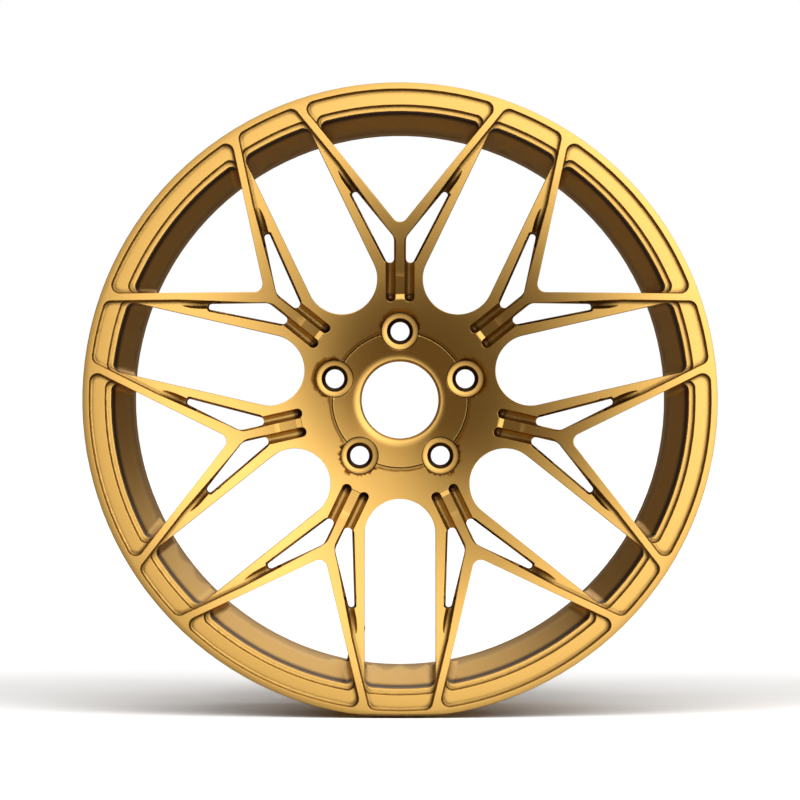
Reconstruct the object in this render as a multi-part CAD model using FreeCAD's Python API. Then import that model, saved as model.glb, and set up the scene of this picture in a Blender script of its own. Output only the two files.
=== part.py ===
import FreeCAD, Part
import os
from math import sin, cos, tan, acos, radians, degrees, sqrt, atan2, hypot, pi

V = FreeCAD.Vector

# Forged racing wheel rim, 19 x 8.5J: a one-piece forging with seven split spokes.
# Millimetres. The wheel stands upright: its axis is the Y axis, its front looks
# along -Y, +Z is up and the origin is the middle of the wheel.
# "depth" is measured back from the front plane of the wheel.

# ---------------------------------------------------------------- rim contour
overall_width = 240.0          # over both flanges
flange_thick = 12.05           # leaves 215.9 between the flanges
outer_r = 261.0                # flange tip
tip_round = 6.5
seat_r = 243.7                 # bead seat at the flange, 19-inch nominal
seat_taper = 5.0               # degrees
hump_in, hump_high, hump_half = 24.0, 1.2, 1.0   # place behind the flange, height, half its crest
hump_run = 4.0                 # length of the hump's slope down to the seat
well_r, wall = 226.4, 4.4      # drop centre on the tyre side, barrel wall
well_front, well_back = 66.0, 112.0
rear_leg_r, rear_leg_depth = 236.5, 130.0
rear_leg_drop, rear_leg_run = 1.5, 8.0           # the rear leg ends below the seat, before the hump
rear_edge_drop, rear_edge_run = 5.0, 30.0        # inside of the rear flange and where it ends
seat_wall = 6.0                # thickness under the rear bead seat
bead_round, hump_foot, hump_round = 6.5, 5.0, 3.0    # roundings, from the flange inwards
well_front_round, well_back_round, leg_round, leg_end_round = 11.0, 16.0, 22.0, 8.0
rear_round, rear_edge_round, rear_edge_foot = 3.0, 2.5, 12.0
offset = 45.0                  # mounting face in front of the middle plane

# ---------------------------------------------------------------- hub
hub_bore_r = 32.05
bore_round = 2.5
lug_circle, lug_count = 114.3, 5
lug_hole_r = 7.85
insert_r, insert_long = 15.75, 10.0
insert_edge = 0.6              # edge chamfer of a pressed-in seat
seat_depth = 59.5              # lug seats behind the front plane
seat_flat_r = 10.9             # the nut's cone ends here
seat_cone, seat_dish = 30.0, 8.0   # degrees: half angle of the nut's cone, slope of the dish
pad_r, pad_round = 75.0, 2.5
groove_r, groove_half, groove_deep = 57.4, 1.6, 1.0
relief_in, relief_out, relief_deep, relief_half = 41.0, 70.0, 9.0, 17.0
relief_corner_in, relief_corner_out = 4.0, 6.0

# ---------------------------------------------------------------- face surfaces
crown_r, crown_arc = 229.0, 297.0                # upper face: apex radius, arc radius
low_r, low_arc, low_depth = 236.0, 442.0, 7.6    # lower face: the same, and its apex depth
crown_in = 60.0                # the upper face's tools reach in to this radius
hub_turn_r, hub_arc = 100.0, 230.0               # inside this radius the lower face curls in
funnel_r, funnel_arc, funnel_end = 44.0, 15.0, 6.0   # mouth of the bore, end slope in degrees

# ---------------------------------------------------------------- spokes and windows
spoke_count = 7
lip_r, lip_depth, lip_corner = 255.8, 4.0, 6.8   # first step inside the flange
lip_inner = 200.0              # the first step is cut outside this radius only
ledge_r, ledge_corner = 242.8, 6.1               # second step, down to the lower face
window_r = 237.7                                 # outer edge of the windows
foot = 2.6                                       # fillet at the foot of a step
cone_r, cone_depth, cone_fillet = 236.0, 30.0, 9.0   # slope from the window to the well
cone_run, cone_past = 4.0, 12.0                  # the slope meets the well before its front, and runs on
split_angle, split_apex, split_fillet = 39.3, 142.7, 7.0
split_blend, main_blend = 5.9, 7.2               # arms into the barrel
arm_start, arm_waist = (12.0, 143.7), (49.05, 193.6)
rib_half = 3.4
slot_rib, slot_hub, slot_fillet = 5.0, 113.6, 9.0
slot_out, slot_angle = (11.7, 115.5), 27.5
slot_tip, slot_tip_reach, slot_tip_angle = (36.7, 169.4), 3.05, 39.5
slot_band, band_deep, band_foot = 1.7, 4.0, 1.4
channel_x, channel_r, channel_z, channel_deep = 7.8, 4.0, 85.8, 7.0
ramp_r, ramp_end, ramp_deep = 3.3, (51.0, 188.0), 6.0
ramp_over, ramp_back = 1.3, 0.25   # how far the ramp's cut runs on past its two ends
ledge_z, ledge_step_z, ledge_sunk = 87.7, 83.4, 0.4
waist_round = 80.0             # the outer arms bend this gently at their waist
neck_in = 6.0                  # the lower face starts this far inside the hub's turn
main_half, main_end = 29.4, 111.3                # main window: half width, centre of its round end
pad_edge = (84.0, 66.0, 12.0)
back_mid = (150.0, 48.0, 120.0)
back_rim_depth, back_rim_fillet = 44.0, 16.0
hub_split, rim_split = 80.0, 1.2                 # the forging is divided here: radius, gap to the barrel

front = -overall_width / 2.0
far = 60.0                     # reach of a cutting body past what it cuts
over = far / 4                 # metal left in front for the face surfaces to trim
pitch = 360.0 / spoke_count
pad_depth = overall_width / 2.0 - offset


# ---------------------------------------------------------------- helpers
def profile(r, depth):
    return V(r, front + depth, 0)


def plan(x, z):
    return V(x, front - far, z)


def arc3(a, b, c):
    return Part.Arc(a, b, c).toShape()


def spin(edges):
    return Part.Face(Part.Wire(edges)).revolve(V(0, 0, 0), V(0, 1, 0), 360)


def outline(corners, place):
    """Closed outline of lines with a fillet at each corner given as (a, b, radius)."""
    parts = []
    for i, (a, b, rad) in enumerate(corners):
        pa, pb = corners[i - 1][:2]
        na, nb = corners[(i + 1) % len(corners)][:2]
        d1, d2 = hypot(pa - a, pb - b), hypot(na - a, nb - b)
        u1, u2 = ((pa - a) / d1, (pb - b) / d1), ((na - a) / d2, (nb - b) / d2)
        if not rad:
            parts.append(((a, b), None, (a, b)))
            continue
        half = 0.5 * acos(u1[0] * u2[0] + u1[1] * u2[1])
        t, out = rad / tan(half), rad / sin(half) - rad
        ba, bb = u1[0] + u2[0], u1[1] + u2[1]
        bl = hypot(ba, bb)
        parts.append(((a + u1[0] * t, b + u1[1] * t), (a + ba / bl * out, b + bb / bl * out),
                      (a + u2[0] * t, b + u2[1] * t)))
    edges = []
    for i, (s, m, e) in enumerate(parts):
        if m:
            edges.append(arc3(place(*s), place(*m), place(*e)))
        nxt = parts[(i + 1) % len(parts)][0]
        if hypot(nxt[0] - e[0], nxt[1] - e[1]) > 1e-6:
            edges.append(Part.makeLine(place(*e), place(*nxt)))
    return edges


def prism(corners, deep=overall_width + far):
    face = Part.Face(Part.Wire(outline(corners, plan)))
    return face.extrude(V(0, deep, 0))


def cylinder(r, y0, y1):
    return Part.makeCylinder(r, y1 - y0, V(0, y0, 0), V(0, 1, 0))


def turned(shape, angle):
    s = shape.copy()
    s.rotate(V(0, 0, 0), V(0, 1, 0), angle)
    return s


def mirrored(shape):
    return shape.mirror(V(0, 0, 0), V(1, 0, 0))


def rotate_xz(p, angle):
    a = radians(angle)
    return (p[0] * cos(a) + p[1] * sin(a), -p[0] * sin(a) + p[1] * cos(a))


def flip(p):
    return (-p[0], p[1])


def meet(p, a, q, b):
    """Where the line through p at angle a meets the line through q at angle b (from +Z)."""
    ax, az = sin(radians(a)), cos(radians(a))
    bx, bz = sin(radians(b)), cos(radians(b))
    t = ((q[0] - p[0]) * bz - (q[1] - p[1]) * bx) / (ax * bz - az * bx)
    return (p[0] + ax * t, p[1] + az * t)


def one(shape):
    s = shape.Solids
    return s[0] if len(s) == 1 else Part.Compound(s)


# ---------------------------------------------------------------- face surfaces
def crown(r):
    return crown_arc - sqrt(crown_arc ** 2 - (r - crown_r) ** 2)


turn_sin = (low_r - hub_turn_r) / low_arc
turn_depth = low_depth + low_arc - sqrt(low_arc ** 2 - (low_r - hub_turn_r) ** 2)


def low(r):
    if r >= hub_turn_r:
        return low_depth + low_arc - sqrt(low_arc ** 2 - (r - low_r) ** 2)
    s = turn_sin + (hub_turn_r - r) / hub_arc
    return turn_depth + hub_arc * (sqrt(1 - turn_sin ** 2) - sqrt(1 - s * s))


funnel_sin = turn_sin + (hub_turn_r - funnel_r) / hub_arc
funnel_last_sin = sin(radians(funnel_end))


def funnel(s):
    """Point of the bore's mouth where the slope's sine is s."""
    r = funnel_r - funnel_arc * (funnel_sin - s)
    return r, low(funnel_r) + funnel_arc * (sqrt(1 - s * s) - sqrt(1 - funnel_sin ** 2))


def front_low(shift=0.0):
    """Everything in front of the lower face, moved back by shift."""
    def p(r, d):
        return profile(r, d + shift)
    reach = outer_r + 5
    hub_mid = 0.5 * (hub_turn_r + funnel_r)
    mid = 0.5 * (funnel_sin + funnel_last_sin)
    fr, fd = funnel(funnel_last_sin)
    lip = hub_bore_r + bore_round
    ld = fd + (fr - lip) * tan(radians(funnel_end))
    k = bore_round * (1 - sqrt(0.5))
    return spin([
        Part.makeLine(p(0, -far), p(reach, -far)),
        Part.makeLine(p(reach, -far), p(reach, low(reach))),
        arc3(p(reach, low(reach)), p(0.5 * (reach + hub_turn_r), low(0.5 * (reach + hub_turn_r))),
             p(hub_turn_r, turn_depth)),
        arc3(p(hub_turn_r, turn_depth), p(hub_mid, low(hub_mid)), p(funnel_r, low(funnel_r))),
        arc3(p(funnel_r, low(funnel_r)), p(*funnel(mid)), p(fr, fd)),
        Part.makeLine(p(fr, fd), p(lip, ld)),
        arc3(p(lip, ld), p(hub_bore_r + k, ld + k), p(hub_bore_r, ld + bore_round)),
        Part.makeLine(p(hub_bore_r, ld + bore_round), p(0, ld + bore_round)),
        Part.makeLine(p(0, ld + bore_round), p(0, -far))])


def front_crown(shift=0.0, inner=crown_in):
    """Everything in front of the upper face, moved back by shift."""
    def p(r, d):
        return profile(r, d + shift)
    outer = outer_r + 5
    mid = 0.5 * (inner + outer)
    return spin([
        Part.makeLine(p(0, -far), p(outer, -far)),
        Part.makeLine(p(outer, -far), p(outer, crown(outer))),
        arc3(p(outer, crown(outer)), p(mid, crown(mid)), p(inner, crown(inner))),
        Part.makeLine(p(inner, crown(inner)), p(0, crown(inner))),
        Part.makeLine(p(0, crown(inner)), p(0, -far))])


# ---------------------------------------------------------------- blank of the forging
def barrel_blank():
    """Barrel with both flanges; its front is left long, for the face surfaces to trim."""
    seat_end = seat_r - hump_in * tan(radians(seat_taper))
    crest = seat_end + hump_high
    rear = overall_width
    rear_face = rear - flange_thick
    hump, rear_hump = flange_thick + hump_in, rear_face - hump_in
    inner_leg, inner_well = rear_leg_r - wall, well_r - wall
    corners = [
        (outer_r, -over, 0), (outer_r, flange_thick, tip_round), (seat_r, flange_thick, bead_round),
        (seat_end, hump - hump_run, hump_foot), (crest, hump, hump_round),
        (crest, hump + 2 * hump_half, hump_round), (well_r, well_front, well_front_round),
        (well_r, well_back, well_back_round), (rear_leg_r, rear_leg_depth, leg_round),
        (seat_end - rear_leg_drop, rear_hump - rear_leg_run - hump_half, leg_end_round),
        (crest, rear_hump - hump_half, hump_round), (crest, rear_hump + hump_half, hump_round),
        (seat_end, rear_hump + hump_run + hump_half, hump_foot),
        (seat_r, rear_face, bead_round), (outer_r, rear_face, tip_round), (outer_r, rear, rear_round),
        (seat_r - rear_edge_drop, rear, rear_edge_round),
        (seat_end - seat_wall, rear - rear_edge_run, rear_edge_foot),
        (inner_leg, rear_leg_depth, leg_round), (inner_well, well_back + 2, well_back_round),
        (inner_well, -over, 0)]
    return spin(outline(corners, profile))


def disc_blank():
    """Hub and spokes before the windows are cut, flush with the barrel at the outside."""
    inner_well = well_r - wall
    inside_bore, into_wall = hub_bore_r - 2, inner_well + 2
    corners = [
        (inside_bore, -over, 0), (inside_bore, pad_depth, 0), (pad_r, pad_depth, pad_round),
        pad_edge, back_mid, (inner_well, back_rim_depth, back_rim_fillet),
        (inner_well, well_front, 0), (into_wall, well_front, 0), (into_wall, -over, 0)]
    return spin(outline(corners, profile))


def barrel_inside(gap=0.0):
    """Space inside the barrel, straight at the window and then down the slope; gap keeps off it."""
    inner_well = well_r - wall
    slope = (cone_r - inner_well) / (well_front - cone_run - cone_depth)
    corner = cone_depth - (window_r - cone_r) / slope
    deep = well_front + cone_past
    end_r = inner_well - (cone_past + cone_run) * slope - gap
    corners = [(0, -far, 0), (window_r - gap, -far, 0), (window_r - gap, corner, cone_fillet),
               (end_r, deep, 0), (end_r, deep + far, 0), (0, deep + far, 0)]
    return spin(outline(corners, profile))


# ---------------------------------------------------------------- cutting bodies for one spoke
sx, sz = sin(radians(split_angle)), cos(radians(split_angle))
waist_far = (arm_waist[0] + 100 * sx, arm_waist[1] + 100 * sz)
start_angle = degrees(atan2(arm_waist[0] - arm_start[0], arm_waist[1] - arm_start[1]))


def near_line(pt, a, b):
    ax, az = b[0] - a[0], b[1] - a[1]
    return abs((pt.x - a[0]) * az - (pt.z - a[1]) * ax) / hypot(ax, az) < 0.01


def side_edges(tool, a, b, inner, outer):
    """Edges of a cutting body on the upright plane through a and b, between two radii."""
    found = []
    for e in tool.Edges:
        m = e.valueAt(0.5 * (e.FirstParameter + e.LastParameter))
        ends = [v.Point for v in e.Vertexes]
        r = hypot(m.x, m.z)
        if inner < r < outer and m.y > front - far + 1 and all(near_line(q, a, b) for q in ends + [m]):
            found.append(e)
    return found


def wedge(reach):
    """Plan between the inner edges of the two upper arms."""
    k = reach / sz
    return [(0, split_apex, split_fillet), (k * sx, split_apex + k * sz, 0),
            (-k * sx, split_apex + k * sz, 0)]


def low_plan():
    """Plan of the lower face between two spokes' upper arms, about the main window's line."""
    neck = (rib_half, hub_turn_r - neck_in)
    corner = meet((rib_half, 0), 0, arm_start, start_angle)
    right = [rotate_xz(p, -pitch / 2) for p in (neck, corner, arm_waist, waist_far)]
    left = [flip(p) for p in right]
    rounds = (0, slot_fillet, waist_round, 0)
    corners = [p + (r,) for p, r in zip(right, rounds)]
    return corners + [p + (r,) for p, r in zip(reversed(left), reversed(rounds))]


def window_plan():
    reach = outer_r + far
    half = main_half
    return [(-half, main_end - half, half - 0.01), (-half, reach, 0), (half, reach, 0),
            (half, main_end - half, half - 0.01)]


def slot_plan(band=0.0):
    """Plan of the slot right of the rib; band widens its outer side."""
    angle = radians(slot_angle)
    out = (slot_out[0] + band * cos(angle), slot_out[1] - band * sin(angle))
    mean = 0.5 * (slot_angle + slot_tip_angle)
    reach = slot_tip_reach
    cap = (slot_tip[0] + reach * sin(radians(mean)), slot_tip[1] + reach * cos(radians(mean)))
    inner = meet((slot_rib, 0), 0, arm_start, slot_tip_angle)
    top = meet(arm_start, slot_tip_angle, cap, mean + 90)
    tip = meet(out, slot_angle, cap, mean + 90)
    end = meet(out, slot_angle, (0, slot_hub), 90)
    return [(slot_rib, slot_hub, 3.3), inner + (slot_fillet,), top + (2.5,), tip + (2.5,), end + (3.3,)]


def stepped(body, radius, surface, corner):
    """A step: the plan cut off at radius and at a face, corners and foot rounded."""
    limit = cylinder(radius, front - far + 0.5, 0)
    tool = body.common(limit).common(surface)
    tool = tool.Solids[0]
    upright = [e for e in tool.Edges if len(e.Vertexes) == 2
               and abs(e.Vertexes[0].X - e.Vertexes[1].X) < 1e-4
               and abs(e.Vertexes[0].Z - e.Vertexes[1].Z) < 1e-4
               and abs(hypot(e.Vertexes[0].X, e.Vertexes[0].Z) - radius) < 0.01]
    tool = tool.makeFillet(corner, upright)
    return tool


def foot_round(tool, size, inner):
    """Round the bottom edges of a step beyond the radius inner."""
    bottom = []
    for e in tool.Edges:
        m = e.valueAt(0.5 * (e.FirstParameter + e.LastParameter))
        ends = [v.Point for v in e.Vertexes]
        upright = len(ends) == 2 and hypot(ends[0].x - ends[1].x, ends[0].z - ends[1].z) < 1e-3
        if upright or m.y < front - far + 2 or hypot(m.x, m.z) < inner:
            continue
        bottom.append(e)
    return tool.makeFillet(size, bottom)


def groove(start, end, radius, ball):
    """Round-bottomed groove between two points (x, z, depth of its axis), open to the front."""
    a = V(start[0], front + start[2], start[1])
    b = V(end[0], front + end[2], end[1])
    d = b.sub(a)
    body = Part.makeCylinder(radius, d.Length, a, d)
    side = d.cross(V(0, -1, 0)).normalize()
    up = side.cross(d).normalize()
    if up.y > 0:
        up = up.negative()
    w = side * radius
    lift = up * (far / 2)
    face = Part.Face(Part.makePolygon([a - w, a + w, a + w + lift, a - w + lift, a - w]))
    parts = [face.extrude(d)]
    if ball:
        parts += [Part.makeSphere(radius, a),
                  Part.makeCylinder(radius, far / 2, a, up)]
    return body.multiFuse(parts)


# ---------------------------------------------------------------- one spoke's sector
def window_tools(inside, low_front, lip_front):
    """Cutting bodies for the split window and for the main window, each about +Z."""
    split = prism(wedge(outer_r + far))
    a, b = (0, split_apex), (sx, split_apex + sz)
    through = split.common(inside).Solids[0]
    through = through.makeFillet(split_blend, side_edges(through, a, b, cone_r - 25, outer_r)
                                 + side_edges(through, flip(a), flip(b), cone_r - 25, outer_r))
    lip = foot_round(stepped(split, lip_r, lip_front, lip_corner), foot, 170)
    ledge = foot_round(stepped(split, ledge_r, low_front, ledge_corner), foot, 170)
    main = prism(window_plan()).common(inside).Solids[0]
    a, b = (main_half, 0), (main_half, 1)
    main = main.makeFillet(main_blend, side_edges(main, a, b, cone_r - 25, outer_r)
                           + side_edges(main, flip(a), flip(b), cone_r - 25, outer_r))
    lower = prism(low_plan())
    main_lip = foot_round(stepped(lower, lip_r, lip_front, lip_corner), foot, 170)
    main_lip = main_lip.cut(cylinder(lip_inner, front - far, 0))
    main_ledge = foot_round(stepped(lower, ledge_r, low_front, ledge_corner), foot, 118)
    return [through, lip, ledge], [main, main_lip, main_ledge]


def slot_tools(low_front):
    """Slot, its rounded band, the channel at its hub end and the ramp at its rim end."""
    tools = [prism(slot_plan())]
    band = prism(slot_plan(slot_band)).common(low_front)
    tools.append(band.Solids[0])
    floor = low(channel_z) + channel_deep - channel_r
    run = low(slot_hub) + channel_deep - channel_r
    tools.append(groove((channel_x, channel_z, floor), (channel_x, slot_hub + 6, run), channel_r, True))
    r0, r1 = hypot(*slot_tip), hypot(*ramp_end)
    side = (cos(radians(start_angle)) * ramp_r, -sin(radians(start_angle)) * ramp_r)
    edge = meet(arm_start, start_angle, slot_tip, start_angle + 90)
    s0 = (edge[0] + side[0], edge[1] + side[1])
    run_len = hypot(ramp_end[0] - edge[0], ramp_end[1] - edge[1])
    s1 = (s0[0] + run_len * sin(radians(start_angle)), s0[1] + run_len * cos(radians(start_angle)))
    d0, d1 = low(r0) + ramp_deep - ramp_r, low(r1) - ramp_r
    ends = [tuple(u + (v - u) * t for u, v in zip(s0 + (d0,), s1 + (d1,))) for t in (-ramp_back, ramp_over)]
    tools.append(groove(ends[0], ends[1], ramp_r, False))
    return tools


def root_tools(crown_front):
    """The rib's end on the hub: down to the upper face, with a short ramp up to the hub."""
    half, reach = channel_x, hub_turn_r + 2
    strip = prism([(-half, ledge_z, 0), (half, ledge_z, 0), (half, reach, 0), (-half, reach, 0)])
    strip = strip.common(crown_front).Solids[0]
    d0, d1 = crown(ledge_z), low(ledge_step_z) + ledge_sunk
    pts = [V(-half, front + d0, ledge_z + 0.01), V(-half, front + d1, ledge_step_z),
           V(-half, front - 1, ledge_step_z), V(-half, front - 1, ledge_z + 0.01)]
    ramp = Part.Face(Part.makePolygon(pts + pts[:1])).extrude(V(2 * half, 0, 0))
    return [strip, ramp]


def forging_sector():
    inside, low_front, crown_front = barrel_inside(), front_low(), front_crown()
    blank = barrel_blank().fuse(disc_blank()).cut(low_front.common(front_crown(0, hub_bore_r / 2)))
    blank = blank.cut(cylinder(hub_bore_r, front - far, -front))
    reach = 2 * outer_r
    a = radians(pitch / 2)
    slice_plan = [(0, 0, 0), (reach * sin(a), reach * cos(a), 0), (-reach * sin(a), reach * cos(a), 0)]
    sector = blank.common(prism(slice_plan, overall_width + 2 * far))
    split, main = window_tools(inside, low_front, front_crown(lip_depth))
    slots = slot_tools(front_low(band_deep))
    tools = split + [turned(t, s * pitch / 2) for t in main for s in (1, -1)]
    tools += slots + [mirrored(t) for t in slots] + root_tools(crown_front)
    for t in tools:
        sector = sector.cut(t)
    return blank, sector


blank, sector = forging_sector()


# ---------------------------------------------------------------- valve sizes
valve_turn = -15.6             # degrees from its spoke's line, behind the arms' meeting point
valve_spoke = 4                # spokes after the top one, clockwise from the front
valve_back = 76.0              # depth of the valve's axis
valve_hole_r = 4.15
touch = 0.01                   # gap between parts that are pressed together
running = 0.05                 # radial gap of a running fit
spot_r, spot_in, spot_out, spot_far = 8.2, 0.25, 0.3, 20.0   # flats milled on the barrel's two sides
wall_here = wall - spot_in - spot_out
stem_r, stem_long, stem_edge = 3.85, 32.0, 0.5
head_r, head_high = 6.0, 3.0
grommet_r, grommet_high, grommet_short = 6.6, 1.5, 0.8
washer_r, washer_high, washer_gap = 6.2, 0.8, 0.1
nut_flat, nut_high, nut_edge = 11.0, 4.5, 0.25
core_r, core_long, core_bore, core_from_tip = 2.55, 7.0, 0.9, 2.2
tongue_half, tongue_high = 1.2, 2.6
duct_r, chamber_gap, chamber_long = 1.5, 0.5, 7.5   # air way, room round the core's cup
pin_r, pin_above, pin_below = 0.6, 1.6, 5.4
cup_r, cup_high = 1.9, 1.6
core_seal_high, core_seal_over = 0.5, 0.15
spring_r, spring_wire, spring_turns, spring_long = 1.35, 0.2, 6, 3.4
cap_r, cap_top, cap_cover, cap_edge = 4.9, 1.4, 9.0, 0.6
cap_room = 1.2                 # room in the cap over the stem's tip
cap_seal_r, cap_seal_bore, cap_seal_high = 3.2, 2.7, 0.8


# ---------------------------------------------------------------- valve, about its own axis
# Built pointing along -Z from the tyre side (z = 0) inwards, then set in place.
def rod(r, z0, z1, hole=0.0):
    body = Part.makeCylinder(r, z1 - z0, V(0, 0, z0))
    return body.cut(Part.makeCylinder(hole, z1 - z0, V(0, 0, z0))) if hole else body


def hexagon(flat, z0, z1, hole):
    corner, high = flat / sqrt(3), z1 - z0
    pts = [V(corner * cos(pi / 6 + k * pi / 3), corner * sin(pi / 6 + k * pi / 3), z0) for k in range(6)]
    body = Part.Face(Part.makePolygon(pts + pts[:1])).extrude(V(0, 0, high))
    trim = Part.makeCone(corner + high, corner - nut_edge, high + nut_edge, V(0, 0, z0))
    return body.common(trim).cut(Part.makeCylinder(hole, high, V(0, 0, z0)))


def spring(z0, z1):
    helix = Part.makeHelix((z1 - z0) / spring_turns, z1 - z0, spring_r)
    ring = Part.Wire(Part.makeCircle(spring_wire, V(spring_r, 0, 0), V(0, 1, 0)))
    coil = Part.Wire(helix.Edges).makePipeShell([ring], True, True)
    coil.translate(V(0, 0, z0))
    return coil


def end_ring(body, z):
    """Edges of a turned part that lie in the plane z."""
    return [e for e in body.Edges if abs(e.BoundBox.ZMax - z) < 0.01 and abs(e.BoundBox.ZMin - z) < 0.01]


def valve_parts():
    tip, head_low = stem_long, -grommet_high - head_high
    core_top = tip - core_from_tip
    core_low = core_top - core_long
    stem = rod(head_r, head_low, -grommet_high).fuse(rod(stem_r, -grommet_high, tip))
    stem = stem.makeChamfer(stem_edge, end_ring(stem, tip))
    stem = stem.cut(rod(core_r + touch, core_low, tip))
    stem = stem.cut(rod(cup_r + chamber_gap, core_low - chamber_long, core_low))
    stem = stem.cut(rod(duct_r, head_low, core_low))
    neck = rod(valve_hole_r - 3 * touch, 0, wall_here - grommet_short, stem_r + touch)
    grommet = rod(grommet_r, -grommet_high, 0, stem_r + touch).fuse(neck)
    nut_low = wall_here + washer_high
    washer = rod(washer_r, wall_here, nut_low, stem_r + washer_gap)
    nut = hexagon(nut_flat, nut_low, nut_low + nut_high, stem_r + running)

    body = rod(core_r, core_low, core_top, core_bore)
    for x in (tongue_half, -tongue_half - core_r):
        corner = V(x, -core_r, core_top - tongue_high)
        body = body.cut(Part.makeBox(core_r, 2 * core_r, tongue_high, corner))
    seat = core_low - running
    cup_top, cup_low = seat - core_seal_high, seat - cup_high
    pin = rod(pin_r, seat - pin_below, core_top + pin_above).fuse(rod(cup_r, cup_low, cup_top))
    seal = rod(cup_r + core_seal_over, cup_top, seat, pin_r)
    coil_low = cup_low - spring_long - spring_wire
    coil = spring(coil_low, cup_low - spring_wire - 2 * touch)

    cap_low, roof = tip + 2 * touch, tip + cap_room
    cap = rod(cap_r, tip - cap_cover, roof + cap_top)
    cap = cap.makeFillet(cap_edge, end_ring(cap, roof + cap_top))
    cap = cap.cut(rod(stem_r + running, tip - cap_cover, cap_low))
    cap = cap.cut(rod(cap_seal_r + touch, cap_low, roof))
    cap_seal = rod(cap_seal_r, roof - cap_seal_high, roof, cap_seal_bore)
    return {"valve_stem": stem, "valve_grommet": grommet, "valve_washer": washer, "valve_nut": nut,
            "valve_core_body": body, "valve_core_pin": pin, "valve_core_seal": seal,
            "valve_core_spring": coil, "valve_cap": cap, "valve_cap_seal": cap_seal}


valve_angle = valve_spoke * pitch + valve_turn


def on_wheel(shape):
    """Set a valve part, or a cut for it, from its own axis into the wheel."""
    s = shape.copy()
    s.rotate(V(0, 0, 0), V(1, 0, 0), 180)
    s.translate(V(0, front + valve_back, well_r - spot_out))
    s.rotate(V(0, 0, 0), V(0, 1, 0), valve_angle)
    return s


# ---------------------------------------------------------------- hub with its pressed-in seats
def lug_insert():
    dish = (insert_r - seat_flat_r) * tan(radians(seat_dish))
    cone_deep = (seat_flat_r - lug_hole_r) / tan(radians(seat_cone))
    top, bottom = seat_depth - dish, seat_depth + insert_long
    pts = [profile(lug_hole_r, seat_depth + cone_deep), profile(seat_flat_r, seat_depth),
           profile(insert_r - insert_edge, top), profile(insert_r, top + insert_edge),
           profile(insert_r, bottom), profile(lug_hole_r, bottom)]
    body = Part.Face(Part.makePolygon(pts + pts[:1])).revolve(V(0, 0, 0), V(0, 1, 0), 360)
    body.translate(V(0, 0, lug_circle / 2))
    return body


def hub_node(blank):
    hub = blank.common(cylinder(hub_split, front - far, -front))
    ring = cylinder(groove_r + groove_half, front - far, 0)
    ring = ring.cut(cylinder(groove_r - groove_half, front - far, 0))
    hub = hub.cut(ring.common(front_low(groove_deep)))
    bottom = front + seat_depth + insert_long
    for k in range(lug_count):
        angle = 360.0 / lug_count * k
        pocket = Part.makeCylinder(insert_r, bottom - front + far, V(0, front - far, lug_circle / 2),
                                   V(0, 1, 0))
        hole = Part.makeCylinder(lug_hole_r, overall_width, V(0, front, lug_circle / 2), V(0, 1, 0))
        hub = hub.cut(turned(pocket, angle)).cut(turned(hole, angle))
        hub = hub.cut(turned(relief_pocket(), angle + 180.0 / lug_count))
    return hub


def relief_pocket():
    a = radians(relief_half)
    pts = [(relief_in * sin(a), relief_in * cos(a), relief_corner_in),
           (relief_out * sin(a), relief_out * cos(a), relief_corner_out),
           (-relief_out * sin(a), relief_out * cos(a), relief_corner_out),
           (-relief_in * sin(a), relief_in * cos(a), relief_corner_in)]
    face = Part.Face(Part.Wire(outline(pts, lambda x, z: V(x, front + pad_depth - relief_deep, z))))
    return face.extrude(V(0, relief_deep + 5, 0))


# ---------------------------------------------------------------- nodes
os.makedirs("parts", exist_ok=True)
nodes = {}
spoke_room = barrel_inside(rim_split)
spoke = sector.common(spoke_room).cut(cylinder(hub_split, front - far, -front))
for k in range(spoke_count):
    nodes["forged_spoke_%d" % (k + 1)] = turned(spoke, k * pitch)
nodes["forged_hub"] = hub_node(blank)

outer = sector.cut(spoke_room)
rim = outer.multiFuse([turned(outer, k * pitch) for k in range(1, spoke_count)]).removeSplitter()
for cut in (rod(valve_hole_r, -spot_far, spot_far), rod(spot_r, -spot_far, 0),
            rod(spot_r, wall_here, spot_far)):
    rim = rim.cut(on_wheel(cut))
nodes["forged_rim"] = rim

for k in range(lug_count):
    nodes["lug_seat_insert_%d" % (k + 1)] = turned(lug_insert(), 360.0 / lug_count * k)
for name, shape in valve_parts().items():
    nodes[name] = on_wheel(shape)

for name, shape in nodes.items():
    one(shape).exportStep("parts/%s.step" % name)
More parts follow.
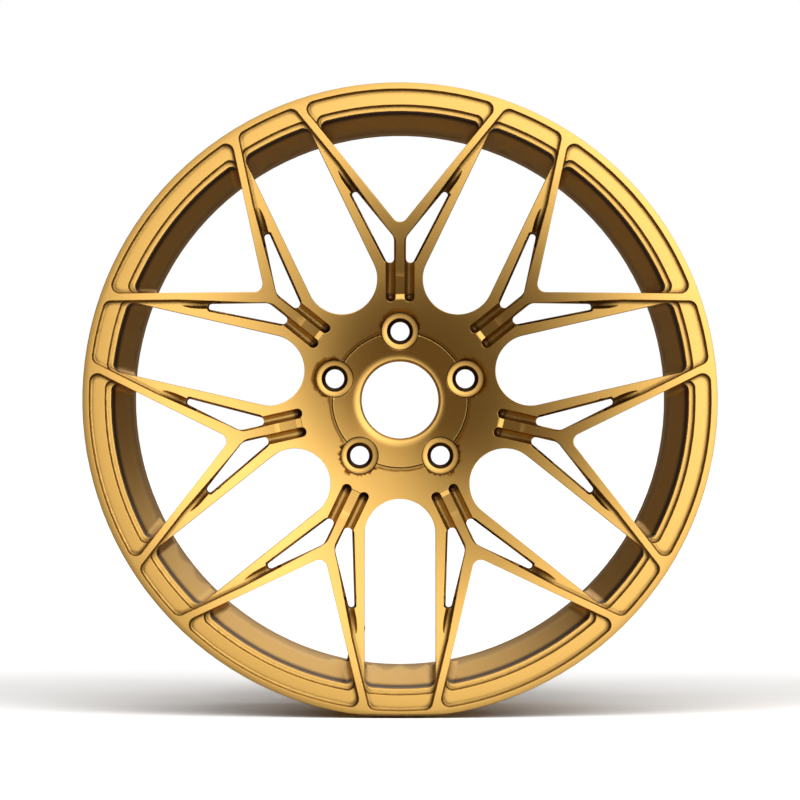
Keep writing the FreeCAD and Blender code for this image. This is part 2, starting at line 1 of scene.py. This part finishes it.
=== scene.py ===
import math
import bpy
import bmesh
import numpy as np
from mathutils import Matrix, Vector


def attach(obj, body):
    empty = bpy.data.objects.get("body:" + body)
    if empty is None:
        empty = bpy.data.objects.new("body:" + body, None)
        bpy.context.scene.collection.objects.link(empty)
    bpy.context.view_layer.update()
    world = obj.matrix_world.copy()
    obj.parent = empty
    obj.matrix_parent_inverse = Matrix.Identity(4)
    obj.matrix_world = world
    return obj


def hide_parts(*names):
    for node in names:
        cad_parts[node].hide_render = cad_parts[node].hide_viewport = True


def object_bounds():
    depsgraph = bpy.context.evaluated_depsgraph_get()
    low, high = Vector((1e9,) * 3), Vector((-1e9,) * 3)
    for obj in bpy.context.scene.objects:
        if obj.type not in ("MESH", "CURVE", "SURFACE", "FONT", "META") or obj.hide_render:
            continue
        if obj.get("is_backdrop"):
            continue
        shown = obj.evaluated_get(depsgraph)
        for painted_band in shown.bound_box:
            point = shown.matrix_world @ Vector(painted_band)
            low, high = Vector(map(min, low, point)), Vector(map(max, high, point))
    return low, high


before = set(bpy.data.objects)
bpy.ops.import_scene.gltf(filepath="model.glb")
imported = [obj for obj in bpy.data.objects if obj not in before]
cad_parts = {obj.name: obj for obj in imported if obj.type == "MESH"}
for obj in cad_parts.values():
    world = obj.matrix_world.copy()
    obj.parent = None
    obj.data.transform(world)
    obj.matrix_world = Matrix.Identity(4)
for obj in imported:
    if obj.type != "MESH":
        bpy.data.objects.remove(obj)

low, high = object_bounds()


# ---------------------------------------------------------------- the forging
# Barrel, hub and seven split spokes are one piece of aluminium, forged, then turned and milled
# all over, so nothing joins them. It is sprayed in a satin metallic bronze whose flakes give
# a fine sparkle, and the paint rounds every machined edge a little.
mm = 0.001
front_y = low.y

# Depths are measured back from the front flange.
hub_join = 80.0 * mm                        # cylinder between the hub and the spokes
arm_end_r, arm_end_depth = 236.5 * mm, 24.23 * mm
arm_end_fillet, arm_end_slope = 9.0 * mm, 0.4375
join_near = 0.04 * mm                       # how close to a join a corner has to be
weld_near = 0.01 * mm
crease, flatness = math.radians(15), 90

flange_in, flange_edge, flange_fall, flange_tilt = 255.8 * mm, 261.0 * mm, 0.5 * mm, 0.095
flange_rim, flange_front = flange_edge - 0.1 * mm, 4.0 * mm

upper_r, upper_arc = 229.0 * mm, 297.0 * mm
lower_r, lower_arc, lower_depth = 236.0 * mm, 442.0 * mm, 7.6 * mm
turn_r, turn_arc = 100.0 * mm, 230.0 * mm   # inside this the hub curls the other way
step_deep = 4.0 * mm
mouth_r, mouth_arc, mouth_flat_r, mouth_turn = 44.0 * mm, 15.0 * mm, 34.5 * mm, 5.0 * mm
mouth_least, mouth_more = 0.25, 0.31
cut_near, cut_aligned = 0.03 * mm, 0.93

# The second colour is near-black, painted in as shade in corners and recesses.
bronze_colour, bronze_painted_shade = (0.80, 0.485, 0.132), (0.035, 0.011, 0.004)
# Where the barrel begins behind the second step, a band of shade is painted into the colour.
painted_band_r, painted_band_wide, painted_band_out_r = 231.2 * mm, 4.2 * mm, 238.0 * mm
painted_band_near, painted_band_far = front_y + 9.5 * mm, front_y + 34.0 * mm


class Wire:
    """A shader value that can be added, subtracted, multiplied and raised like a number."""

    def __init__(self, tree, socket):
        self.tree, self.socket = tree, socket

    def node(self, kind, settings=None, **inputs):
        """Any node: its type, its settings, and values or wires for its inputs."""
        made = self.tree.nodes.new(kind)
        for key, value in (settings or {}).items():
            setattr(made, key, value)
        for key, value in inputs.items():
            socket = made.inputs[int(key[1:])] if key[0] == "_" else made.inputs[key.replace("_", " ")]
            if isinstance(value, Wire):
                self.tree.links.new(value.socket, socket)
            else:
                socket.default_value = value
        return made

    def wire(self, kind, output, settings=None, **inputs):
        return Wire(self.tree, self.node(kind, settings, **inputs).outputs[output])

    def math(self, operation, *values, clamp=False):
        inputs = {"_%d" % i: v for i, v in enumerate(values)}
        return self.wire("ShaderNodeMath", 0, {"operation": operation, "use_clamp": clamp}, **inputs)

    def __add__(self, other):
        return self.math("ADD", self, other)

    def __sub__(self, other):
        return self.math("SUBTRACT", self, other)

    def __rsub__(self, other):
        return self.math("SUBTRACT", other, self)

    def __mul__(self, other):
        return self.math("MULTIPLY", self, other)

    __radd__, __rmul__ = __add__, __mul__

    def __pow__(self, other):
        return self.math("POWER", self, other)

    def clamp(self):
        return self.math("ADD", self, 0.0, clamp=True)

    def at_least(self, floor):
        return self.math("MAXIMUM", self, floor)

    def along(self, axis):
        return self.wire("ShaderNodeSeparateXYZ", axis, _0=self)

    def noise(self, scale, detail=2.0, rough=0.5):
        return self.wire("ShaderNodeTexNoise", "Fac", Vector=self, Scale=scale, Detail=detail, Roughness=rough)

    def mix(self, a, b):
        """Colour a where this value is 0 and colour b where it is 1."""
        return self.wire("ShaderNodeMix", 2, {"data_type": "RGBA"}, _0=self, _6=a, _7=b)

    def bump(self, height, strength, **normal):
        return self.wire("ShaderNodeBump", 0, Height=self, Strength=strength, Distance=height, **normal)

    def into(self, shader, socket):
        self.tree.links.new(self.socket, shader.inputs[socket])


def finish(name, colour, metallic=0.0, roughness=0.5, **fixed):
    """A new material: its principled shader and the piece's own coordinates."""
    mat = bpy.data.materials.new(name)
    mat.use_nodes = True
    tree = mat.node_tree
    shader = tree.nodes["Principled BSDF"]
    shader.inputs["Base Color"].default_value = (*colour, 1)
    shader.inputs["Metallic"].default_value = metallic
    shader.inputs["Roughness"].default_value = roughness
    for key, value in fixed.items():
        shader.inputs[key.replace("_", " ")].default_value = value
    place = tree.nodes.new("ShaderNodeTexCoord")
    return mat, shader, Wire(tree, place.outputs["Object"])


def shades(colour, spread):
    """A darker and a lighter shade of a colour."""
    return [(*[min(1, c * k) for c in colour], 1) for k in (1 - spread[0], 1 + spread[1])]


def bronze(name, tint=(1.0, 1.0, 1.0), edge=0.8 * mm, shut=6.0 * mm, closed=0.68, opened=0.88, painted_shade_below=None):
    """Satin metallic bronze. Edges look rounded by edge. Shade is painted into the colour: it is
    dark where walls nearer than shut leave it less open than closed, plain where they leave it
    more open than opened, dark in a band behind the second step, and dark below the depth
    given as the last argument, where one is given."""
    base = [c * t for c, t in zip(bronze_colour, tint)]
    painted_shade_colour = [c * t for c, t in zip(bronze_painted_shade, tint)]
    mat, shader, place = finish(name, base, 1.0, 0.34, Coat_Weight=0.10, Coat_Roughness=0.20)
    flake = place.noise(1900.0, 2.0, 0.6)
    cloud = place.noise(26.0, 3.0)
    rounded = place.wire("ShaderNodeBevel", 0, {"samples": 6}, Radius=edge)
    # Shade is painted into the colour where walls near a spot leave it little open sky.
    open_sky = place.wire("ShaderNodeAmbientOcclusion", "AO", {"samples": 8}, Distance=shut)
    light = ((open_sky - closed) * (1 / (opened - closed))).clamp()

    # Behind the second step the barrel starts in a deep corner; its shade there is painted into the colour as
    # a dark band set by position.
    x, y, z = (place.along(k) for k in range(3))
    radius = (x * x + z * z) ** 0.5
    painted_band = ((radius - painted_band_r) * (1 / painted_band_wide)).clamp() * ((painted_band_out_r - radius) * 2000).clamp()
    painted_band = painted_band * ((y - painted_band_near) * 500).clamp() * ((painted_band_far - y) * 200).clamp()
    light = light * (1.0 - painted_band * 0.92)
    # Below this depth the colour is painted dark, as the shade in a sunk cone.
    if painted_shade_below is not None:
        light = light * (1.0 - ((y - painted_shade_below) * 1100).clamp() * 0.94)

    fleck = (flake * 0.34 + cloud * 0.16 + 0.02).clamp()
    # Where shade is painted, the colour is mixed towards the near-black shade colour.
    light.mix((*painted_shade_colour, 1), fleck.mix(*shades(base, (0.14, 0.16)))).into(shader, "Base Color")
    (0.29 + flake * 0.10 + cloud * 0.05).clamp().into(shader, "Roughness")
    flake.bump(0.06 * mm, 0.35, Normal=rounded).into(shader, "Normal")
    return mat


def arm_end_radius(depth):
    """Radius of the surface where a spoke's arms run into the barrel."""
    slope = math.atan(arm_end_slope)
    fillet_end = arm_end_depth + arm_end_fillet * math.sin(slope)
    if depth <= arm_end_depth:
        return arm_end_r
    if depth <= fillet_end:
        return arm_end_r - arm_end_fillet + math.sqrt(arm_end_fillet ** 2 - (depth - arm_end_depth) ** 2)
    start = arm_end_r - arm_end_fillet + arm_end_fillet * math.cos(slope)
    return start - (depth - fillet_end) * arm_end_slope


def inside_metal(face):
    """True for a face that lies inside the metal, where two stretches of it meet."""
    corners = [(math.hypot(v.co.x, v.co.z), v.co.y - front_y) for v in face.verts]
    if all(abs(r - hub_join) < join_near for r, _ in corners):
        return True
    return all(abs(r - arm_end_radius(d)) < join_near for r, d in corners) and abs(face.normal.y) < 0.5


# The nine stretches of the forging are merged into one skin.
forged = ["forged_rim", "forged_hub"] + ["forged_spoke_%d" % (k + 1) for k in range(7)]
one_skin = bmesh.new()
for name in forged:
    one_skin.from_mesh(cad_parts[name].data)
bmesh.ops.remove_doubles(one_skin, verts=one_skin.verts, dist=weld_near)
bmesh.ops.delete(one_skin, geom=[f for f in one_skin.faces if inside_metal(f)], context="FACES")
forging_mesh = bpy.data.meshes.new("forging")
one_skin.to_mesh(forging_mesh)
one_skin.free()
forging = bpy.data.objects.new("forging", forging_mesh)
bpy.context.collection.objects.link(forging)
# Its material holds painted shade in corners and in a band behind the second step.
forging.data.materials.append(bronze("bronze_gold_finish"))
bpy.ops.object.select_all(action="DESELECT")
forging.select_set(True)
bpy.context.view_layer.objects.active = forging
bpy.ops.object.shade_smooth_by_angle(angle=crease)
even = forging.modifiers.new("flat faces stay flat", "WEIGHTED_NORMAL")
even.keep_sharp, even.mode, even.weight = True, "FACE_AREA", flatness
bpy.ops.object.modifier_apply(modifier=even.name)
forging_mesh = forging.data

# The flange's face falls away towards its edge.
for v in forging_mesh.vertices:
    if math.hypot(v.co.x, v.co.z) > flange_rim and v.co.y - front_y < flange_front:
        v.co.y += flange_fall


# The turned faces get the direction of the lathe's cut, so long triangles don't show. The
# flange and the bore's mouth are shaded at set angles, which aren't quite the surface's own.
# Each of these gives a face's depth at a radius, and the sine of how far it tilts outwards.
def arc_face(r, peak_r, arc, peak_depth):
    sine = (r - peak_r) / arc
    return peak_depth + arc * (1 - np.sqrt(np.clip(1 - sine ** 2, 0, 1))), sine


def upper_face(r):
    depth, sine = arc_face(r, upper_r, upper_arc, 0.0)
    fall = np.clip((r - flange_in) / (flange_edge - flange_in), 0, 1)
    return depth + flange_fall * (r > flange_rim), sine + flange_tilt * fall


def step_face(r):
    return arc_face(r, upper_r, upper_arc, step_deep)


def lower_face(r, sunk=0.0):
    depth, sine = arc_face(r, lower_r, lower_arc, lower_depth)
    start_depth, start = arc_face(np.array([turn_r]), lower_r, lower_arc, lower_depth)
    curl = start[0] - (turn_r - r) / turn_arc
    rise = math.sqrt(1 - start[0] ** 2) - np.sqrt(np.clip(1 - curl ** 2, 0, 1))
    inner = r < turn_r
    return np.where(inner, start_depth[0] + turn_arc * rise, depth) + sunk, np.where(inner, curl, sine)


def sunk_face(r):
    return lower_face(r, step_deep)


def mouth_face(r):
    rim_depth, rim = lower_face(np.array([mouth_r]))
    sine = rim[0] + (mouth_r - r) / mouth_arc
    depth = rim_depth[0] + mouth_arc * (np.sqrt(np.clip(1 - sine ** 2, 0, 1)) - math.sqrt(1 - rim[0] ** 2))
    turn_in = np.clip((r - mouth_flat_r) / mouth_turn, 0, 1) ** 2
    return np.where(r > mouth_r, -1.0, depth), -(mouth_least + mouth_more * turn_in)


corner_count = len(forging_mesh.loops)
spot = np.empty(len(forging_mesh.vertices) * 3)
forging_mesh.vertices.foreach_get("co", spot)
vert_of = np.empty(corner_count, dtype=np.int64)
forging_mesh.loops.foreach_get("vertex_index", vert_of)
facing = np.empty(corner_count * 3)
forging_mesh.corner_normals.foreach_get("vector", facing)
spot, facing = spot.reshape(-1, 3)[vert_of], facing.reshape(-1, 3)
across = np.hypot(spot[:, 0], spot[:, 2])
for face in (upper_face, step_face, lower_face, sunk_face, mouth_face):
    depth, sine = face(across)
    true = np.stack([sine * spot[:, 0] / across, -np.sqrt(1 - sine ** 2), sine * spot[:, 2] / across], axis=1)
    on_it = (np.abs(spot[:, 1] - front_y - depth) < cut_near) & ((true * facing).sum(axis=1) > cut_aligned)
    facing[on_it] = true[on_it]
forging_mesh.normals_split_custom_set(facing)

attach(forging, "wheel")
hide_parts(*forged)


# ---------------------------------------------------------------- lug seats
# Five turned rings pressed into the hub, each with a 60-degree cone for its nut. They are
# painted with the wheel; the cone below the ring's face is painted dark, as painted shade.
# The last number is how far below the ring's face the cone's painted shade begins.
seat_tint, seat_edge, seat_painted_shade_depth = (0.98, 0.97, 0.95), 0.3 * mm, 0.5 * mm


def dress(names, mat):
    """Gives CAD pieces, left as they are, their finish."""
    for name in names:
        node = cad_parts[name]
        node.data.materials.clear()
        node.data.materials.append(mat)


seat_face = min(v.co.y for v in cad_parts["lug_seat_insert_1"].data.vertices)
# The seats' material holds painted shade in corners and in the cone.
dress(["lug_seat_insert_%d" % (k + 1) for k in range(5)],
      bronze("seat_insert_finish_and_painted_shade", seat_tint, seat_edge, 5.0 * mm, 0.5, 0.9, seat_face + seat_painted_shade_depth))


# ---------------------------------------------------------------- valve stem, washer and nut
# Turned from aluminium bar and anodised black. The stem goes through the barrel from the
# tyre's side, and the washer and nut clamp it from inside.
def plain(name, colour, metallic, roughness, grain):
    """A bare finish with fine turning grain: it varies in colour and in gloss."""
    mat, shader, place = finish(name, colour, metallic, roughness)
    speck = place.noise(grain, 3.0)
    speck.mix(*shades(colour, (0.2, 0.2))).into(shader, "Base Color")
    (roughness - 0.06 + speck * 0.12).clamp().into(shader, "Roughness")
    speck.bump(0.02 * mm, 0.3).into(shader, "Normal")
    return mat


dress(["valve_stem", "valve_washer", "valve_nut"],
      plain("black_anodised", (0.035, 0.035, 0.04), 0.6, 0.38, 3000))


# ---------------------------------------------------------------- valve core
# A brass body screwed into the stem, with a brass pin sliding through it and a coil of
# drawn steel wire that pulls the pin shut.
dress(["valve_core_body", "valve_core_pin"], plain("turned_brass", (0.78, 0.58, 0.27), 1.0, 0.28, 2500))
dress(["valve_core_spring"], plain("drawn_wire", (0.6, 0.6, 0.62), 1.0, 0.3, 4000))


# ---------------------------------------------------------------- rubber seals
# Moulded black rubber: the grommet in the barrel's hole, the ring on the core's pin and
# the disc under the cap's roof. All are held by being squeezed.
dress(["valve_grommet", "valve_core_seal", "valve_cap_seal"],
      plain("rubber_seal", (0.02, 0.02, 0.02), 0.0, 0.75, 1800))


# ---------------------------------------------------------------- valve cap
# A small turned aluminium cap, black anodised like the stem but a little duller, screwed
# over the stem's end by hand.
dress(["valve_cap"], plain("black_knurled_cap", (0.03, 0.03, 0.035), 0.6, 0.42, 3000))


# ---------------------------------------------------------------- floor
# A pale studio floor that runs out into white. Three wide soft lights stand above and in
# front of it and throw the wheel's shadow back and to both sides.
floor_size, floor_gap, floor_grey = 40, 0.5 * mm, 0.86
bpy.context.scene.view_settings.view_transform = "Standard"
bpy.ops.mesh.primitive_plane_add(size=floor_size, location=(0, 0, low.z - floor_gap))
floor = bpy.context.active_object
floor.name = "floor"
floor_mat, _, _ = finish("pale_floor", (floor_grey,) * 3, 0.0, 0.9, Specular_IOR_Level=0.0)
floor.data.materials.append(floor_mat)
floor.visible_glossy = False
floor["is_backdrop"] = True

# side, strength, degrees wide, degrees forward, degrees sideways
for side, strength, wide, tip, lean in (("over", 1.7, 46, 38, 0), ("left", 1.9, 36, 44, -44),
                                        ("right", 1.9, 36, 44, 44)):
    lamp = bpy.data.lights.new("floor_light_" + side, "SUN")
    lamp.energy, lamp.angle = strength, math.radians(wide)
    floor_light = bpy.data.objects.new("floor_light_" + side, lamp)
    bpy.context.collection.objects.link(floor_light)
    floor_light.rotation_euler = (math.radians(tip), math.radians(lean), 0)
    floor_light.visible_glossy = False
    floor_light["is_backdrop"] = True


# ---------------------------------------------------------------- room light
# Soft boxes round the wheel: one in front and to the upper right, weaker ones ahead, above
# and behind. The rest of the room is a dim warm grey, and the backdrop is white.
room_dim, room_white = (0.13, 0.105, 0.08, 1), (1.0, 0.985, 0.95, 1)
front_light_at, front_light_edge, front_light_gain = (0.333, -0.9135, 0.233), 0.62, 3.15
spark_edge, spark_gain = 0.90, 14.0
soft_boxes = (((-0.05, -1.0, -0.03), 0.90, 4.5),
              ((0.1, -0.35, 0.93), 0.70, 2.2),
              ((0.25, 0.5, 0.83), 0.66, 3.6))
floor_share = 0.35                          # how much of it the floor gets
room = bpy.data.worlds.new("studio")
bpy.context.scene.world = room
room.use_nodes = True
room.node_tree.nodes.clear()
air = Wire(room.node_tree, room.node_tree.nodes.new("ShaderNodeTexCoord").outputs["Generated"])


def toward(*place):
    """How nearly a direction points at the soft box that stands there."""
    unit = tuple(Vector(place).normalized())
    return air.wire("ShaderNodeVectorMath", "Value", {"operation": "DOT_PRODUCT"}, _0=air, _1=unit)


front_light = toward(*front_light_at)
glow = ((front_light - front_light_edge) * front_light_gain).at_least(0.0)
glow = glow + ((front_light - spark_edge) * spark_gain).at_least(0.0)
for place, edge, gain in soft_boxes:
    glow = glow + ((toward(*place) - edge) * gain).clamp()
ray = air.node("ShaderNodeLightPath")
on_floor = 1.0 - Wire(air.tree, ray.outputs["Is Diffuse Ray"]) * (1 - floor_share)
dim = air.wire("ShaderNodeBackground", 0, Color=room_dim, Strength=on_floor)
lit = air.wire("ShaderNodeBackground", 0, Color=room_white, Strength=glow * on_floor)
both = air.wire("ShaderNodeAddShader", 0, _0=dim, _1=lit)
white = air.wire("ShaderNodeBackground", 0, Color=(1, 1, 1, 1), Strength=1.0)
seen = air.wire("ShaderNodeMixShader", 0, _0=Wire(air.tree, ray.outputs["Is Camera Ray"]), _1=both, _2=white)
seen.into(air.node("ShaderNodeOutputWorld"), "Surface")


# ---------------------------------------------------------------- camera
# It stands level with the wheel's middle and looks straight at its face.
distance, seen_width, sensor_width, framing = 4.5, 0.6572, 36, 1.7 * mm
camera_data = bpy.data.cameras.new("camera")
camera_data.sensor_width = sensor_width
camera_data.lens = sensor_width * distance / seen_width
camera = bpy.data.objects.new("camera", camera_data)
bpy.context.collection.objects.link(camera)
camera.location = (0, front_y + framing - distance, 0)
camera.rotation_euler = (math.radians(90), 0, 0)
bpy.context.scene.camera = camera
camera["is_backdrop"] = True

low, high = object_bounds()
